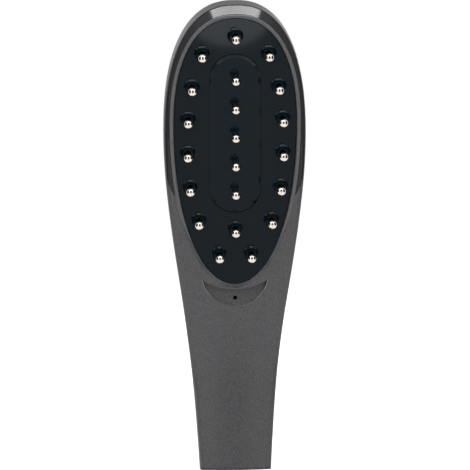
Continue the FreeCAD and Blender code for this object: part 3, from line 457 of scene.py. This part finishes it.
def camera_share(tree):
    paths = add_node(tree, "ShaderNodeLightPath")
    seen = add_node(tree, "ShaderNodeMath", {"operation": "MAXIMUM"})
    tree.links.new(paths.outputs["Is Camera Ray"], seen.inputs[0])
    tree.links.new(paths.outputs["Is Glossy Ray"], seen.inputs[1])
    all_seen = add_node(tree, "ShaderNodeMath", {"operation": "MAXIMUM"})
    tree.links.new(seen.outputs[0], all_seen.inputs[0])
    tree.links.new(paths.outputs["Is Transmission Ray"], all_seen.inputs[1])
    return all_seen.outputs[0]


def pale_floor():
    bpy.ops.mesh.primitive_plane_add(size=FLOOR_SIZE, location=(0, 0, cad_box[0][2]))
    floor = bpy.context.active_object
    floor.name = "floor"
    finish, tree, shader = new_finish("pale_paper", "#f2f2f2", 0.9)
    glow = add_node(tree, "ShaderNodeEmission", Color=(1, 1, 1, 1), Strength=FLOOR_GLOW)
    both = add_node(tree, "ShaderNodeAddShader")
    tree.links.new(shader.outputs[0], both.inputs[0])
    tree.links.new(glow.outputs[0], both.inputs[1])
    choice = add_node(tree, "ShaderNodeMixShader", links={"Fac": camera_share(tree)})
    tree.links.new(shader.outputs[0], choice.inputs[1])
    tree.links.new(both.outputs[0], choice.inputs[2])
    tree.links.new(choice.outputs[0], tree.nodes["Material Output"].inputs["Surface"])
    floor.data.materials.append(finish)


def white_room():
    world = bpy.data.worlds.new("white_room")
    bpy.context.scene.world = world
    world.use_nodes = True
    tree = world.node_tree
    as_lamp = tree.nodes["Background"]
    as_lamp.inputs["Color"].default_value = (1, 1, 1, 1)
    as_lamp.inputs["Strength"].default_value = ROOM_AS_LAMP
    as_seen = add_node(tree, "ShaderNodeBackground", Color=(1, 1, 1, 1), Strength=ROOM_AS_SEEN)
    choice = add_node(tree, "ShaderNodeMixShader", links={"Fac": camera_share(tree)})
    tree.links.new(as_lamp.outputs[0], choice.inputs[1])
    tree.links.new(as_seen.outputs[0], choice.inputs[2])
    tree.links.new(choice.outputs[0], tree.nodes["World Output"].inputs["Surface"])


pale_floor()
white_room()
print("room as a lamp:", ROOM_AS_LAMP, "as seen:", ROOM_AS_SEEN)

# %% [markdown]
# ## Lamps
# Two softboxes stand half way round to the left and right of the camera and a small one high in front, so each ball
# tip shows two bright legs that meet at the top. One behind lights the rim of the head. The gloss pieces need a narrow
# highlight each, as a photographer gives with a strip lamp: the side lamps are kept off the trim band, and the band,
# the lip, the panel and the island have one lamp each to themselves. A small low lamp gives the sheen at the top of the
# panel.

# %% Lamps
HEAD_MIDDLE = Vector((0, -20, 130)) * MM


def softbox(name, place_mm, size_mm, watts):
    lamp = bpy.data.lights.new(name, "AREA")
    lamp.shape = "RECTANGLE"
    lamp.size, lamp.size_y = (s * MM for s in size_mm)
    lamp.energy = watts
    box = bpy.data.objects.new(name, lamp)
    box.location = Vector(place_mm) * MM
    box.rotation_mode = "QUATERNION"
    box.rotation_quaternion = (HEAD_MIDDLE - box.location).to_track_quat("-Z", "Y")
    bpy.context.scene.collection.objects.link(box)
    return box


def shine_only_on(box, *pieces):
    receivers = bpy.data.collections.new(box.name + "_receivers")
    for piece in pieces:
        receivers.objects.link(piece)
    box.light_linking.receiver_collection = receivers
    return receivers


def keep_off(box, piece):
    receivers = shine_only_on(box, piece)
    receivers.collection_objects[0].light_linking.link_state = "EXCLUDE"


STRIP_PLACE, STRIP_SIZE = (0, -972, 861), (1085, 180)
BAND_STRIP_PLACE = (55, -972, 861)  # the band's highlight lies a little to the right

keep_off(softbox("left_softbox", (-640, -500, 560), (600, 900), 3.9), nodes["trim_band"])
keep_off(softbox("right_softbox", (640, -500, 560), (600, 900), 2.95), nodes["trim_band"])
softbox("front_softbox", (0, -480, 1000), (400, 300), 1.9)
softbox("rear_softbox", (0, 1000, 420), (1400, 500), 2.8)
shine_only_on(softbox("band_softbox", BAND_STRIP_PLACE, STRIP_SIZE, 32.0), nodes["trim_band"])
shine_only_on(softbox("lip_softbox", STRIP_PLACE, STRIP_SIZE, 14.0), bead)
shine_only_on(softbox("boss_softbox", STRIP_PLACE, STRIP_SIZE, 4.5), nodes["contact_panel"])
shine_only_on(softbox("island_softbox", (120, -1200, 345), (1700, 420), 5.0), nodes["centre_island"])
sheen = softbox("panel_sheen", (17, -430, 10), (48, 110), 0.05)
sheen.data.shape = "ELLIPSE"
sheen.rotation_quaternion = Quaternion((1, 0, 0), math.pi)  # lies near the floor and looks up
print("lamps:", len(bpy.data.lights))

# %% [markdown]
# ## Dark flags
# A polished ball mirrors the whole room, so its drawing comes from what stands round it. Black felt cards beside and in
# front of the object give each ball its dark flanks and its dark middle. They could block light too, but only their
# mirror images are wanted, so they cast no shadow and are seen in reflections alone.

# %% Dark flags


def flag(name, place_mm, size_mm, turn=(0, 0, 0)):
    bpy.ops.mesh.primitive_plane_add(size=1.0, location=Vector(place_mm) * MM)
    card = bpy.context.active_object
    card.name = name
    card.scale = (size_mm[0] * MM, size_mm[1] * MM, 1.0)
    card.rotation_euler = [math.radians(t) for t in turn]
    card.data.materials.append(new_finish(name + "_felt", "#101010", 0.9, specular=0.1)[0])
    card.visible_camera = card.visible_shadow = card.visible_diffuse = False


for name, side in (("left", -1), ("right", 1)):
    flag(name + "_wall_flag", (side * 760, -95, 312), (624, 558), (0, 90, 0))
    flag(name + "_leg_flag", (side * 418, -232, 301), (280, 510), (90, 0, side * 63))
    flag(name + "_floor_flag", (side * 550, -100, 2), (420, 400))
flag("front_flag", (0, -2500, 1000), (1700, 2000), (90, 0, 0))
flag("front_floor_flag", (0, -1500, 2), (600, 2000))

# %% [markdown]
# ## Camera
# The photograph looks as if taken with a long lens from a little above and to the left, because parallel edges stay
# nearly parallel in it. The lens follows from the height of the frame at the object.

# %% Camera
VIEW_AZIMUTH = math.radians(-2.9)
VIEW_ELEVATION = math.radians(4.0)
VIEW_ROLL = math.radians(-0.58)
VIEW_DISTANCE = 6.0
FRAME_HEIGHT = 200.3 * MM
SENSOR = 36.0
CLIP_END = 50.0
AIM = Vector((-0.27, -26, 101.77)) * MM


def photo_camera():
    lens = bpy.data.cameras.new("photo_camera")
    lens.sensor_width = SENSOR
    lens.lens = SENSOR * VIEW_DISTANCE / FRAME_HEIGHT
    lens.clip_end = CLIP_END
    camera = bpy.data.objects.new("photo_camera", lens)
    flat = math.cos(VIEW_ELEVATION)
    back = Vector((math.sin(VIEW_AZIMUTH) * flat, -math.cos(VIEW_AZIMUTH) * flat, math.sin(VIEW_ELEVATION)))
    camera.location = AIM + back * VIEW_DISTANCE
    camera.rotation_mode = "QUATERNION"
    camera.rotation_quaternion = (-back).to_track_quat("-Z", "Y") @ Quaternion((0, 0, 1), VIEW_ROLL)
    bpy.context.scene.collection.objects.link(camera)
    bpy.context.scene.camera = camera
    return camera


camera = photo_camera()
bpy.context.scene.view_settings.view_transform = "Standard"
print("lens:", round(camera.data.lens), "mm")
